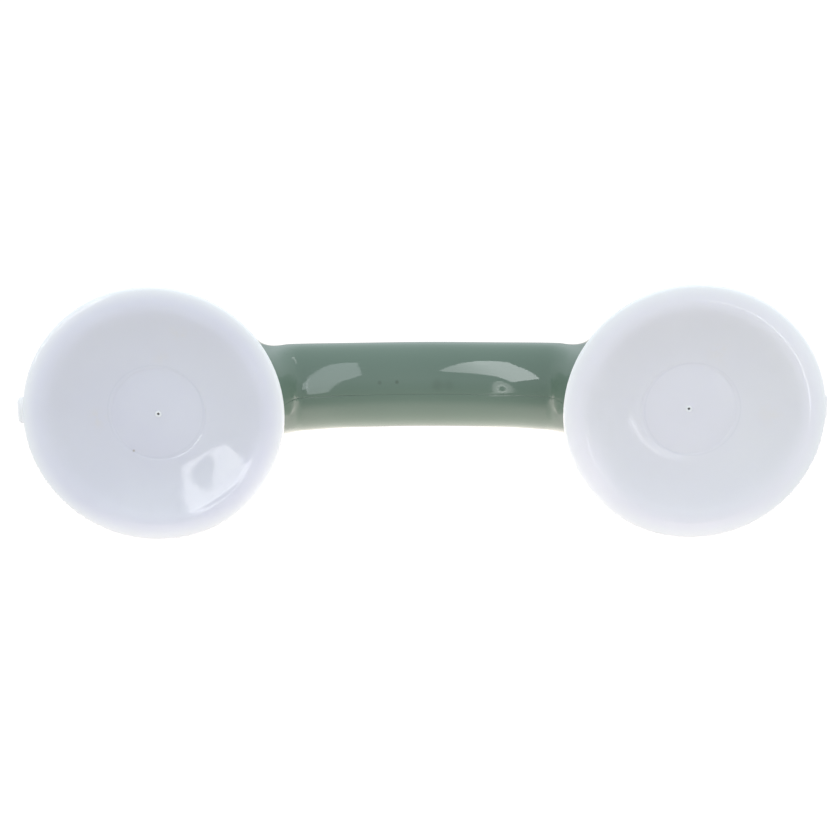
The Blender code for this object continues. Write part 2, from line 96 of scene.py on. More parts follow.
# =====================================================================================================
# mesh helpers
# =====================================================================================================
def end_matrix(side):
    turn = Matrix.Rotation(math.pi / 2, 4, "X")
    if side == "left":
        turn = turn @ Matrix.Rotation(math.pi, 4, "Z")
    return Matrix.Translation(((-1 if side == "left" else 1) * CUP_X * MM, 0.0, 0.0)) @ turn


def smoothstep(low, high, value):
    t = min(max((value - low) / (high - low), 0.0), 1.0)
    return t * t * (3 - 2 * t)


def mesh_of(name, points, faces, matrix=None):
    """A mesh from points in millimetres, with its doubles merged and its faces pointing out."""
    mesh = bpy.data.meshes.new(name)
    mesh.from_pydata([tuple(c * MM for c in p) for p in points], [], faces)
    bm = bmesh.new()
    bm.from_mesh(mesh)
    bmesh.ops.remove_doubles(bm, verts=bm.verts, dist=1e-6)
    bmesh.ops.dissolve_degenerate(bm, edges=bm.edges, dist=5e-7)
    bmesh.ops.recalc_face_normals(bm, faces=bm.faces)
    if bm.calc_volume(signed=True) < 0:
        bmesh.ops.reverse_faces(bm, faces=bm.faces)
    bm.to_mesh(mesh)
    bm.free()
    if matrix is not None:
        mesh.transform(matrix)
    return mesh


def rings_mesh(name, rings, matrix=None, caps=True):
    """Closed rings of equal count, joined one to the next, with a face over each end."""
    count = len(rings[0])
    points = [p for ring in rings for p in ring]
    faces = []
    for a in range(len(rings) - 1):
        for i in range(count):
            j = (i + 1) % count
            faces.append((a * count + i, a * count + j, (a + 1) * count + j, (a + 1) * count + i))
    if caps:
        faces.append(tuple(range(count)))
        faces.append(tuple((len(rings) - 1) * count + i for i in reversed(range(count))))
    return mesh_of(name, points, faces, matrix)


def prism(name, outline, low, high, plane="XZ", matrix=None):
    """A flat outline of (outboard, depth) run across from low to high, or of (outboard, across) run in depth."""
    place = (lambda a, b, h: (a, h, b)) if plane == "XZ" else (lambda a, b, h: (a, b, h))
    rings = [[place(a, b, h) for a, b in outline] for h in (low, high)]
    return rings_mesh(name, rings, matrix)


def block(name, low, high, matrix=None):
    return prism(name, [(low[0], low[1]), (high[0], low[1]), (high[0], high[1]), (low[0], high[1])],
                 low[2], high[2], "XY", matrix)


def rod(name, radius, low, high, at=(0.0, 0.0), along="Z", segments=40, matrix=None):
    circle = [(at[0] + radius * math.cos(math.tau * i / segments), at[1] + radius * math.sin(math.tau * i / segments))
              for i in range(segments)]
    return prism(name, circle, low, high, "XY" if along == "Z" else "XZ", matrix)


def lathe(name, profile, steps, matrix=None, closed=True):
    """A profile of (radius, depth) turned about the end's axis. Points at radius 0 become poles."""
    rings = []
    for k in range(steps):
        a = math.tau * k / steps
        rings.append([(r * math.cos(a), r * math.sin(a), d) for r, d in profile])
    count = len(profile)
    points = [p for ring in rings for p in ring]
    last = count if closed else count - 1
    faces = []
    for k in range(steps):
        n = (k + 1) % steps
        for i in range(last):
            j = (i + 1) % count
            faces.append((k * count + i, k * count + j, n * count + j, n * count + i))
    return mesh_of(name, points, faces, matrix)


def tube(name, path, radius, sides, matrix=None):
    """A round wire along a path, with flat ends."""
    pts = [Vector(p) for p in path]
    rings, side = [], None
    for i, p in enumerate(pts):
        ahead = (pts[min(i + 1, len(pts) - 1)] - pts[max(i - 1, 0)]).normalized()
        side = (side - ahead * side.dot(ahead)).normalized() if side else ahead.orthogonal().normalized()
        other = ahead.cross(side)
        rings.append([tuple(p + (side * math.cos(math.tau * k / sides) + other * math.sin(math.tau * k / sides)) * radius)
                      for k in range(sides)])
    return rings_mesh(name, rings, matrix)


def cut(mesh, *tools, operation="DIFFERENCE"):
    """The mesh after a Boolean with each tool in turn."""
    for tool in tools:
        a = bpy.data.objects.new("work_a", mesh)
        b = bpy.data.objects.new("work_b", tool)
        for o in (a, b):
            bpy.context.scene.collection.objects.link(o)
        modifier = a.modifiers.new("cut", "BOOLEAN")
        modifier.operation = operation
        modifier.object = b
        modifier.solver = "MANIFOLD"
        bpy.context.view_layer.update()
        graph = bpy.context.evaluated_depsgraph_get()
        made = bpy.data.meshes.new_from_object(a.evaluated_get(graph))
        for o in (a, b):
            bpy.data.objects.remove(o, do_unlink=True)
        mesh = made
    return mesh


def tidy(mesh):
    """Drops the slivers that a Boolean leaves."""
    bm = bmesh.new()
    bm.from_mesh(mesh)
    bmesh.ops.remove_doubles(bm, verts=bm.verts, dist=2e-6)
    bmesh.ops.dissolve_degenerate(bm, edges=bm.edges, dist=1e-6)
    bm.to_mesh(mesh)
    bm.free()
    return mesh


def piece(name, mesh, material, body, replaced, angle=35):
    mesh.materials.clear()
    mesh.materials.append(material)
    mesh.shade_smooth()
    mesh.set_sharp_from_angle(angle=math.radians(angle))
    obj = bpy.data.objects.new(name, mesh)
    bpy.context.scene.collection.objects.link(obj)
    if body:
        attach(obj, body)
    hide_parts(*replaced)
    return obj


# =====================================================================================================
# materials
# =====================================================================================================
class Nodes:
    """A material's node tree, with short calls for what these materials use."""

    def __init__(self, name):
        self.material = bpy.data.materials.new(name)
        self.material.use_nodes = True
        self.tree = self.material.node_tree
        self.shader = self.tree.nodes["Principled BSDF"]
        self.place = self.node("ShaderNodeTexCoord").outputs["Object"]

    def node(self, kind, **values):
        made = self.tree.nodes.new(kind)
        for key, value in values.items():
            setattr(made, key, value)
        return made

    def link(self, a, b):
        self.tree.links.new(a, b)

    def put(self, socket, value):
        if isinstance(value, bpy.types.NodeSocket):
            self.link(value, socket)
        else:
            socket.default_value = value

    def set(self, **values):
        for key, value in values.items():
            self.put(self.shader.inputs[key.replace("_", " ")], value)

    def stretched(self, scale, turn=(0.0, 0.0, 0.0)):
        made = self.node("ShaderNodeMapping")
        made.inputs["Scale"].default_value = scale
        made.inputs["Rotation"].default_value = turn
        self.link(self.place, made.inputs["Vector"])
        return made.outputs["Vector"]

    def noise(self, scale, detail=2.0, roughness=0.5, place=None, distortion=0.0):
        made = self.node("ShaderNodeTexNoise")
        self.link(place or self.place, made.inputs["Vector"])
        made.inputs["Scale"].default_value = scale
        made.inputs["Detail"].default_value = detail
        made.inputs["Roughness"].default_value = roughness
        made.inputs["Distortion"].default_value = distortion
        return made.outputs["Fac"]

    def span(self, value, low, high, to_low=0.0, to_high=1.0):
        made = self.node("ShaderNodeMapRange", clamp=True)
        made.interpolation_type = "SMOOTHSTEP"
        self.link(value, made.inputs["Value"])
        for key, v in (("From Min", low), ("From Max", high), ("To Min", to_low), ("To Max", to_high)):
            made.inputs[key].default_value = v
        return made.outputs["Result"]

    def math(self, operation, a, b=0.0):
        made = self.node("ShaderNodeMath", operation=operation)
        self.put(made.inputs[0], a)
        self.put(made.inputs[1], b)
        return made.outputs[0]

    def mix(self, share, a, b):
        made = self.node("ShaderNodeMix", data_type="RGBA")
        self.put(made.inputs["Factor"], share)
        self.put(made.inputs[6], a if isinstance(a, bpy.types.NodeSocket) else (*a, 1.0))
        self.put(made.inputs[7], b if isinstance(b, bpy.types.NodeSocket) else (*b, 1.0))
        return made.outputs[2]

    def bump(self, height, distance, strength=1.0, under=None):
        made = self.node("ShaderNodeBump")
        made.inputs["Strength"].default_value = strength
        made.inputs["Distance"].default_value = distance
        self.link(height, made.inputs["Height"])
        if under is not None:
            self.link(under, made.inputs["Normal"])
        return made.outputs["Normal"]

    def soft_edge(self, radius):
        made = self.node("ShaderNodeBevel", samples=6)
        made.inputs["Radius"].default_value = radius
        return made.outputs["Normal"]

    def axes(self):
        parts = self.node("ShaderNodeSeparateXYZ")
        self.link(self.place, parts.inputs[0])
        return parts.outputs

    def cup_radius(self):
        """Distance in metres from the axis of the nearer cup, or of its middle disc close to that."""
        x, _, z = self.axes()
        dx = self.math("SUBTRACT", self.math("ABSOLUTE", x), CUP_X * MM)
        return self.math("SQRT", self.math("ADD", self.math("MULTIPLY", dx, dx), self.math("MULTIPLY", z, z)))

    def spot(self, point, radius, soft=0.5):
        """1 inside a small ball round a point, falling to 0 at its edge."""
        made = self.node("ShaderNodeVectorMath", operation="DISTANCE")
        self.link(self.place, made.inputs[0])
        made.inputs[1].default_value = [c * MM for c in point]
        return self.span(made.outputs["Value"], radius * (1 - soft) * MM, radius * MM, 1.0, 0.0)


def sage_plastic():
    """Glossy moulded ABS: faintly clouded colour, soft sink waves, hairline rubs and a few dirt specks."""
    n = Nodes("sage_abs_gloss")
    cloud = n.span(n.noise(16.0, 3.0, 0.55), 0.3, 0.7)
    colour = n.mix(cloud, (0.121, 0.179, 0.137), (0.133, 0.194, 0.151))
    fleck = n.span(n.noise(420.0, 2.0, 0.6), 0.77, 0.82)
    colour = n.mix(n.math("MULTIPLY", fleck, 0.5), colour, (0.07, 0.085, 0.06))
    for point, radius, share in (((16.4, -28.7, 4.5), 1.2, 0.28), ((10.0, -28.8, 4.7), 1.2, 0.55),
                                 ((-5.0, -28.8, 3.4), 3.4, 0.16), ((-9.2, -28.8, 3.4), 3.0, 0.12)):
        colour = n.mix(n.math("MULTIPLY", n.spot(point, radius, 0.8), share), colour, (0.05, 0.06, 0.04))
    rub = n.span(n.noise(90.0, 3.0, 0.6, n.stretched((1.0, 14.0, 22.0), (0.3, 0.2, 0.5))), 0.62, 0.76)
    haze = n.noise(70.0, 4.0, 0.6)
    rough = n.math("ADD", n.span(haze, 0.3, 0.75, 0.022, 0.050), n.math("MULTIPLY", rub, 0.06))
    waves = n.bump(n.noise(34.0, 1.0, 0.4), 0.00010, 1.0, n.soft_edge(0.00020))
    ripple = n.bump(n.noise(260.0, 2.0, 0.5), 0.0000045, 1.0, waves)
    grain = n.bump(n.noise(2600.0, 2.0, 0.5), 0.0000006, 1.0, ripple)
    n.set(Base_Color=colour, Roughness=rough, Normal=grain, IOR=1.5)
    return n.material


def cup_rubber():
    """Milky soft vinyl with a soft gloss and a few tan stains. Its outer lip is painted lighter, standing in for the
    light that comes through the thin rubber there.
    """
    n = Nodes("cup_rubber_milky")
    r = n.cup_radius()
    cloud = n.span(n.noise(20.0, 3.0, 0.5), 0.3, 0.7)
    warm = n.mix(cloud, (0.788, 0.776, 0.848), (0.815, 0.806, 0.872))
    pale = n.mix(cloud, (0.865, 0.840, 0.895), (0.895, 0.870, 0.925))
    body = n.mix(n.span(n.axes()["X"], -0.02, 0.02), pale, warm)
    # painted light: the outer lip is painted lighter, in place of light coming through the thin rubber
    colour = n.mix(n.span(r, 0.0412, 0.0474), body, (0.885, 0.88, 0.90))
    # painted shade: a thin darker line painted all round the middle disc's step
    ring = n.math("MULTIPLY", n.span(r, 0.0168, 0.0171), n.span(r, 0.0174, 0.0177, 1.0, 0.0))
    colour = n.mix(n.math("MULTIPLY", ring, 0.09), colour, (0.55, 0.58, 0.64))
    patchy = n.span(n.noise(240.0, 2.0, 0.6), 0.35, 0.65)
    for point, radius, share in (((117.5, -4.5, -2.5), 6.0, 0.10), ((87.5, -3.0, 30.0), 4.5, 0.10),
                                 ((94.0, -5.0, 20.0), 4.5, 0.07), ((-106.0, -5.0, 21.0), 7.0, 0.07),
                                 ((-124.5, -3.5, -1.0), 7.0, 0.07)):
        stain = n.math("MULTIPLY", n.spot(point, radius, 1.0), patchy)
        colour = n.mix(n.math("MULTIPLY", stain, share), colour, (0.90, 0.72, 0.30))
    colour = n.mix(n.math("MULTIPLY", n.spot((105.5, -6.0, -14.7), 0.7, 0.9), 0.6), colour, (0.40, 0.32, 0.22))
    rough = n.span(n.noise(55.0, 3.0, 0.6), 0.3, 0.7, 0.06, 0.09)
    face = n.bump(n.noise(30.0, 2.0, 0.5), 0.00005, 1.0)
    grain = n.bump(n.noise(1800.0, 2.0, 0.5), 0.000001, 1.0, face)
    n.set(Base_Color=colour, Roughness=rough, Normal=grain, IOR=1.45)
    n.shader.inputs["Subsurface Weight"].default_value = 1.0
    n.shader.inputs["Subsurface Radius"].default_value = (1.0, 1.0, 1.05)
    n.shader.inputs["Subsurface Scale"].default_value = 0.0032
    return n.material


def white_plastic(name, low, high, rough, grain):
    n = Nodes(name)
    colour = n.mix(n.span(n.noise(30.0, 3.0, 0.6), 0.3, 0.7), low, high)
    scuff = n.span(n.noise(120.0, 3.0, 0.6, n.stretched((1.0, 9.0, 16.0), (0.2, 0.5, 0.1))), 0.62, 0.76)
    colour = n.mix(n.math("MULTIPLY", scuff, 0.06), colour, (0.55, 0.55, 0.53))
    gloss = n.math("ADD", n.span(n.noise(90.0, 4.0, 0.6), 0.3, 0.7, rough[0], rough[1]), n.math("MULTIPLY", scuff, 0.12))
    edge = n.bump(n.noise(60.0, 1.0, 0.4), 0.0001, 1.0, n.soft_edge(0.0003))
    n.set(Base_Color=colour, Roughness=gloss, Normal=n.bump(n.noise(grain, 2.0, 0.5), 0.000004, 1.0, edge))
    return n.material


def steel(name="plated_steel"):
    n = Nodes(name)
    drawn = n.noise(300.0, 3.0, 0.6, n.stretched((1.0, 9.0, 1.0)))
    colour = n.mix(n.span(drawn, 0.3, 0.7), (0.50, 0.50, 0.51), (0.64, 0.64, 0.65))
    n.set(Base_Color=colour, Metallic=1.0, Roughness=n.span(n.noise(500.0, 3.0, 0.6), 0.3, 0.7, 0.22, 0.38),
          Normal=n.bump(drawn, 0.000008, 1.0, n.soft_edge(0.00012)))
    return n.material


def gate_white_highlight():
    """The smooth raised ring round the moulding gate, coloured whiter than the cup: partly its own pale colour, partly
    a painted highlight.
    """
    n = Nodes("gate_ring_white_highlight")
    # painted highlight: the whiter colour stands partly for the raised ring's highlight
    n.set(Base_Color=n.mix(n.noise(900.0, 2.0), (0.90, 0.90, 0.91), (0.95, 0.95, 0.96)), Roughness=0.12)
    return n.material


def dark_dot():
    n = Nodes("gate_pit_dark")
    n.set(Base_Color=n.mix(n.noise(4000.0, 2.0), (0.26, 0.25, 0.25), (0.34, 0.33, 0.32)), Roughness=0.6)
    return n.material


SAGE = sage_plastic()
RUBBER = cup_rubber()
LEVER_WHITE = white_plastic("white_abs_gloss", (0.66, 0.665, 0.67), (0.70, 0.70, 0.70), (0.13, 0.20), 2600.0)
PLATE_WHITE = white_plastic("white_abs_satin", (0.60, 0.605, 0.605), (0.66, 0.66, 0.655), (0.28, 0.40), 1500.0)
POM = white_plastic("white_pom_satin", (0.60, 0.61, 0.59), (0.66, 0.665, 0.65), (0.24, 0.34), 1800.0)
STEEL = steel()
PIT = dark_dot()
GATE = gate_white_highlight()


# =====================================================================================================
# the handle
# =====================================================================================================
TIP = CUP_X + BELL_R
GRIP_END_W = GRIP_HALF_W + GRIP_FLARE
FILLET_X = CUP_X - math.sqrt((BELL_R - GRIP_END_W) * (BELL_R + GRIP_END_W + 2 * FILLET_R))
TANGENT_X = CUP_X - BELL_R * (CUP_X - FILLET_X) / (BELL_R + FILLET_R)


def front(x):
    """Depth of the handle's front on its middle line."""
    u = min(abs(x) / TIP, 1.0)
    return SKIRT + (CROWN - SKIRT) * (1 - u * u) ** ARCH_POWER


def half_depth(x):
    return GRIP_HALF_D + 0.5 * min(abs(x) / 50.0, 1.0) ** 2


def half_width(x, inset=0.0):
    x = abs(x)
    if x < FILLET_X:
        return GRIP_HALF_W + GRIP_FLARE * smoothstep(0.0, 1.0, (x / FILLET_X) ** 2) - inset
    if x < TANGENT_X:
        return GRIP_END_W + FILLET_R - math.sqrt(FILLET_R**2 - (x - FILLET_X) ** 2) - inset
    return math.sqrt(max((BELL_R - inset) ** 2 - (x - CUP_X) ** 2, 0.0))


def widest(x):
    grip = front(x) - half_depth(x)
    return grip + (SKIRT - grip) * smoothstep(FILLET_X - 2, 72.0, abs(x))


def surface(x, across):
    """Depth of the housing's front face at x and this distance across."""
    wide = half_width(x)
    middle = min(widest(x), front(x))
    share = min(abs(across) / wide, 1.0) if wide > 0 else 1.0
    return middle + (front(x) - middle) * math.sqrt(max(1 - share * share, 0.0))


def form_at(x, inset):
    ax = abs(x)
    top = front(ax) - inset * 1.08
    grip_back = front(ax) - 2 * half_depth(ax) + inset
    if inset:
        back = grip_back + (RIM - 6.0 - grip_back) * smoothstep(50.5, 60.5, ax)
    else:
        back = grip_back + (RIM - grip_back) * smoothstep(46.0, 57.0, ax)
    return top, back, min(widest(ax), top), half_width(ax, inset), 2 + 9 * smoothstep(52.0, 74.0, ax)


def half_ring(x, count=26):
    """The upper shell's section before it is hollowed: from the parting plane on the wall side, over, to the front."""
    top, back, middle, wide, power = form_at(x, 0.0)
    share = 0.35 * smoothstep(12.0, 30.0, x) + 0.65 * max(math.sin(0.21 * x + 1.1) * math.sin(0.083 * x), 0.0)
    edge = min(PART_EDGE[0] + (PART_EDGE[1] - PART_EDGE[0]) * share, 0.4 * (wide - PART_GAP))
    start = PART_GAP + edge
    front_edge = min(edge, 0.5 * (top - middle))
    grip = 1 - smoothstep(46.0, 57.0, abs(x))
    ring = []
    for a in (180, 202.5, 225, 247.5):
        a = math.radians(a)
        ring.append((start + edge * math.cos(a), back + edge * (1 + math.sin(a))))
    for i in range(count):
        a = math.pi / 2 * (i / count - 1)
        e = 2 / power
        y = start + (wide - start) * max(math.cos(a), 0.0) ** e if i else start
        d = middle - (middle - back) * (-math.sin(a)) ** e
        ring.append((y, d + grip * DRAFT * 4.0 * (1 - math.exp(-(y - start) / 4.0)) * (d < middle - 1)))
    for i in range(count + 1):
        a = math.pi / 2 * i / count
        ring.append((start + (wide - start) * max(math.cos(a), 0.0), middle + (top - middle) * math.sin(a)))
    for a in (67.5, 45, 22.5, 0):
        a = math.radians(a)
        ring.append((start - edge * math.cos(a), top - front_edge * (1 - math.sin(a))))
    return [(x, -d, y) for y, d in ring]


def outer_half():
    """The upper half of the handle's outer form, a closed solid."""
    half = [1.6 * i for i in range(32)] + [51.0 + 0.55 * i for i in range(20)]
    tip = CUP_X + math.sqrt(BELL_R**2 - 0.36**2)
    start = math.acos((TANGENT_X - CUP_X) / BELL_R)
    half += [CUP_X + BELL_R * math.cos(start * (1 - i / 84)) for i in range(84)]
    half = sorted(set(round(x, 4) for x in half if x < tip - 0.002)) + [tip]
    along = [-x for x in reversed(half[1:])] + half
    return rings_mesh("outer_half", [half_ring(x) for x in along])


def cavity():
    """The hollow inside both shells."""
    radius = BELL_R - WALL
    half = [4.0 * i for i in range(12)] + [46.0, 48.2, 50.4, FILLET_X, 53.9, 55.4, 57.2, 59.4]
    start = math.acos(-(CUP_X - TANGENT_X) / radius)
    half += [CUP_X + radius * math.cos(start * (1 - i / 36)) for i in range(37)]
    half = sorted(set(half))
    along = [-x for x in reversed(half[1:])] + half
    rings = []
    for x in along:
        top, back, middle, wide, power = form_at(x, WALL)
        side = []
        for i in range(19):
            a = math.pi * (i / 18 - 0.5)
            c, s = max(math.cos(a), 0.0), math.sin(a)
            if s < 0:
                y, d = wide * c ** (2 / power), middle - (middle - back) * (-s) ** (2 / power)
            else:
                y, d = wide * c, middle + (top - middle) * s
            side.append((y if 0 < i < 18 else 0.0, d))
        rings.append([(x, -d, y) for y, d in side] + [(x, -d, -y) for y, d in reversed(side[1:-1])])
    return rings_mesh("cavity", rings, caps=False)


def nest_cutter(matrix):
    """The lever's recess, with a radius run round its mouth."""
    rings = []
    for i in range(72):
        u = -WELL_IN + (60.0 + WELL_IN) * (i / 71) ** 1.25
        x = CUP_X + u
        bed = max(front(x) - NEST_DEPTH, 11.4)
        w, r = NEST_HALF_W, NEST_EDGE
        mouth = max(surface(x, w + r) + 0.01, bed + r + 0.05) if x < TIP else bed + r + 0.05
        wall = [(w, bed)] + [(w + r + r * math.cos(math.radians(a)), mouth - r + r * math.sin(math.radians(a)))
                             for a in (180, 165, 150, 135, 120, 105, 90)]
        wall += [(w + r + 0.4, mouth + 3.0), (w + r + 0.4, 90.0)]
        ring = wall + [(-v, d) for v, d in reversed(wall)]
        rings.append([(u, v, d) for v, d in ring])
    return rings_mesh("nest", rings, matrix)


def make_shells():
    hollow = cavity()
    cuts = []
    for side in ("left", "right"):
        m = end_matrix(side)
        us = [-10.6] + [-9 + 2.5 * i for i in range(21)] + [60.0]
        floor = [(u, max(front(CUP_X + u) - NEST_DEPTH - NEST_FLOOR, 11.4 - NEST_FLOOR)) for u in us]
        ribs = [prism("nest_block", floor + [(60.0, 80.0), (us[0], 80.0)],
                      -NEST_HALF_W - NEST_FLOOR, NEST_HALF_W + NEST_FLOOR, "XZ", m)]
        for sx, sy in ((1, 1), (1, -1), (-1, 1), (-1, -1)):
            at = (sx * SCREW_POS, sy * SCREW_POS)
            ribs.append(rod("boss", BOSS_R, BOSS_D, 80.0, at, "Z", 32, m))
            cuts.append(rod("pilot", SCREW_R + GAP, 8.0, SCREW_END + 1.0, at, "Z", 24, m))
        hollow = cut(hollow, *ribs)
        cuts += [nest_cutter(m), block("well", (-WELL_IN, -NEST_HALF_W, 11.0), (WELL_OUT, NEST_HALF_W, 70.0), m)]
    upper = tidy(cut(outer_half(), hollow, *cuts))
    lower = upper.copy()
    bm = bmesh.new()
    bm.from_mesh(lower)
    bmesh.ops.scale(bm, verts=bm.verts, vec=(1.0, 1.0, -1.0))
    bmesh.ops.reverse_faces(bm, faces=bm.faces)
    bm.to_mesh(lower)
    bm.free()
    piece("handle_upper_half", upper, SAGE, "root", ["handle_shell_upper"], 38)
    piece("handle_lower_half", lower, SAGE, "root", ["handle_shell_lower"], 38)


# =====================================================================================================
# the suction cups
# =====================================================================================================
def dish(r):
    """Depth of the cup's wall face: a flat lip, a soft turn into the dish, and a slope that meets the middle disc."""
    span = LIP_IN_R - DISC_R - 1.0
    turn, lean = 0.90, 0.30
    s = max(r - DISC_R - 0.2, 0.0) / span
    if s <= turn:
        return DISH_DEPTH * (1 - lean * s - (1 - lean) * s * s)
    depth = DISH_DEPTH * (1 - lean * turn - (1 - lean) * turn * turn)
    slope = DISH_DEPTH * (lean + 2 * (1 - lean) * turn) / span
    run = 2 * depth / slope
    t = (s - turn) * span / run
    return depth * (1 - t) ** 2 if t < 1 else 0.0


def cup_profile():
    """The cup's whole section, from the middle of its back, round its edge and back along its wall face."""
    over = [(0.0, CUP_TOP), (5.0, CUP_TOP), (10.0, CUP_TOP), (14.2, CUP_TOP), (14.8, 9.95), (15.6, 9.8), (DISC_R, 9.35)]
    r = DISC_R + 0.9
    while r < 43.9:
        over.append((r, dish(r) + 3.0 - 0.4 * smoothstep(DISC_R, CUP_R, r)))
        r += 0.9
    edge = [(44.9, 2.6), (45.7, 2.5), (46.3, 2.25), (46.75, 1.85), (46.96, 1.4), (CUP_R, 1.0), (46.93, 0.55),
            (46.7, 0.22), (46.35, 0.05), (45.9, 0.0)]
    face = []
    r = 45.2
    while r > DISC_R + 0.75:
        face.append((r, dish(r)))
        r -= 0.5
    floor = DISH_DEPTH + DISC_DROP
    step = [(DISC_R + 0.35, DISH_DEPTH), (DISC_R + 0.14, DISH_DEPTH + 0.02), (DISC_R - 0.04, DISH_DEPTH + 0.09),
            (DISC_R - 0.2, floor - 0.05), (DISC_R - 0.42, floor - 0.01), (DISC_R - 0.7, floor)]
    disc = [(r, floor) for r in (16.0, 14.0, 12.0, 10.0, 8.0, 6.0, 4.0, 2.6, 1.9, 1.40)]
    gate = [(1.18, floor - 0.05), (1.08, floor - 0.16), (0.94, floor - 0.26), (0.78, floor - 0.30), (0.62, floor - 0.25),
            (0.50, floor - 0.12), (0.44, floor + 0.1), (0.40, floor + 0.6), (0.0, floor + 0.7)]
    return over + edge + face + step + disc + gate


def tab_mesh(side):
    """The pull tab that stands out of the lip's outboard edge."""
    w, out = TAB_WIDE / 2, CUP_R + TAB_PROUD[side]
    lift = TAB_LIFT if side == "right" else -TAB_LIFT
    plan = [(44.5, -w), (out - 1.7, -w)]
    for cx, cy, start in ((out - 1.7, -w + 1.7, -90), (out - 1.7, w - 1.7, 0)):
        plan += [(cx + 1.7 * math.cos(math.radians(start + 15 * i)), cy + 1.7 * math.sin(math.radians(start + 15 * i)))
                 for i in range(7)]
    plan += [(44.5, w)]
    rings = []
    for d, inset in ((0.80, 0.45), (0.92, 0.16), (1.15, 0.0), (1.95, 0.0), (2.2, 0.16), (2.34, 0.45)):
        rings.append([(min(x, out - inset) if x > 45 else x, lift + max(min(y, w - inset), -w + inset), d)
                      for x, y in plan])
    return rings_mesh("tab", rings)


def make_cup(side):
    m = end_matrix(side)
    body = lathe("cup_body", cup_profile(), 160)
    body = cut(body, tab_mesh(side), operation="UNION")
    tidy(body)
    body.transform(m)
    off, x = DISC_OFF[side], (m @ Vector((0, 0, 0))).x
    for vertex in body.vertices:
        share = (1 - smoothstep(18.5 * MM, 34.0 * MM, math.hypot(vertex.co.x - x, vertex.co.z))) * MM
        vertex.co.x += off[0] * share
        vertex.co.z += off[1] * share
    obj = piece(f"{side}_suction_disc", body, RUBBER, None, [f"suction_cup_{side}"], 50)
    obj.data.materials.append(PIT)
    obj.data.materials.append(GATE)
    centre = m @ Vector((0, 0, 0))
    for face in obj.data.polygons:
        c = face.center
        r = math.hypot(c.x - centre.x - off[0] * MM, c.z - off[1] * MM)
        if r < 1.2 * MM and -c.y < (CUP_TOP - 2) * MM:
            face.material_index = 1 if r < 0.46 * MM else 2
    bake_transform(obj)


# =====================================================================================================
# the levers
# =====================================================================================================
def lever_top(u):
    lift = 31.0
    if u <= lift:
        return front(CUP_X + u)
    start = front(CUP_X + lift)
    slope = (start - front(CUP_X + lift - 0.2)) / 0.2
    run = LEVER_TIP - lift
    t = (u - lift) / run
    h00, h10 = 2 * t**3 - 3 * t**2 + 1, t**3 - 2 * t**2 + t
    h01, h11 = -2 * t**3 + 3 * t**2, t**3 - t**2
    return h00 * start + h10 * run * slope + h01 * 15.6 + h11 * run * -0.10


ROLL_R, ROLL_ANGLE = min(
    (math.hypot(u / 20, front(CUP_X + u / 20) - PIN_D), math.atan2(front(CUP_X + u / 20) - PIN_D, u / 20))
    for u in range(0, 200)
)


def cam_point(normal_angle):
    """A point of the involute cam face, whose distance from the pin falls evenly as the lever opens."""
    rate = TRAVEL / OPEN_ANGLE
    reach = CAM_LOCKED - rate * (-math.pi / 2 - normal_angle)
    c, s = math.cos(normal_angle), math.sin(normal_angle)
    return (reach * c - rate * s, PIN_D + reach * s + rate * c)


def crown(u):
    """How far the housing's face, and so the lever's, falls at the lever's side."""
    at = CUP_X + min(max(u, 0.0), 31.0)
    return max(front(at) - surface(at, LEVER_HALF_W), 0.0)


def lever_ring(point, normal, half, thick, fall):
    """One cross-section: a plate's section with rounded corners and a crowned face."""
    top_r, low_r = min(1.0, thick * 0.42, half * 0.6), min(0.7, thick * 0.3, half * 0.5)
    flat = half - top_r
    section = []
    for i in range(13):
        v = -flat + 2 * flat * i / 12
        section.append((v, -fall * (v / LEVER_HALF_W) ** 2))
    drop = -fall * (half / LEVER_HALF_W) ** 2
    thick = max(thick, -drop + 0.9) if half > 2 else thick
    for i in range(1, 6):
        a = math.radians(90 - 18 * i)
        section.append((flat + top_r * math.cos(a), drop * 0.9 - top_r + top_r * math.sin(a)))
    for i in range(1, 5):
        a = math.radians(-22.5 * i)
        section.append((half - low_r + low_r * math.cos(a), -thick + low_r + low_r * math.sin(a)))
    section += [(half - low_r - (2 * (half - low_r)) * i / 9, -thick) for i in range(1, 9)]
    section += [(-v, h) for v, h in reversed(section[13:22])]
    return [(point[0] + normal[0] * h, v, point[1] + normal[1] * h) for v, h in section]


def lever_body():
    stop = math.acos(-CAM_OPEN / ROLL_R)
    rings = []
    for i in range(15):
        a = stop + (ROLL_ANGLE - stop) * i / 14
        n = (math.cos(a), math.sin(a))
        nose = 1 - 0.35 * (1 - min(i / 3, 1.0)) ** 2
        rings.append(lever_ring((ROLL_R * n[0], PIN_D + ROLL_R * n[1]), n, LEVER_HALF_W - 0.5 * (1 - min(i / 3, 1.0)) ** 2,
                                2.0 * nose, crown(0) * 0.9 * i / 14))
    first = ROLL_R * math.cos(ROLL_ANGLE)
    us = [first + (31.0 - first) * i / 24 for i in range(1, 25)]
    us += [31.0 + (LEVER_TIP - 31.0) * math.sin(math.pi / 2 * i / 30) for i in range(1, 30)] + [LEVER_TIP - 0.004]
    for u in us:
        slope = (lever_top(u + 0.05) - lever_top(u - 0.05)) / 0.1 if u < LEVER_TIP - 0.1 else -0.10
        length = math.hypot(1.0, slope)
        share = max(u - 32.0, 0.0) / (LEVER_TIP - 32.0)
        half = max(LEVER_HALF_W * math.sqrt(max(1 - share**2.5, 0.0)), 0.25)
        nose = math.sqrt(max(1 - max((u - (LEVER_TIP - 1.5)) / 1.5, 0.0) ** 2, 0.0))
        thick = 2.0 + (LEVER_T - 2.0) * smoothstep(first, 10.0, u) - 0.5 * smoothstep(36.0, 44.0, u)
        sink = (1 - nose) * thick * 0.45
        rings.append(lever_ring((u, lever_top(u) - sink), (-slope / length, 1 / length), half,
                                max(thick - 2 * sink, 0.2), crown(u) * (1 - 0.6 * smoothstep(31.0, 44.0, u))))
    return rings_mesh("lever_body", rings)


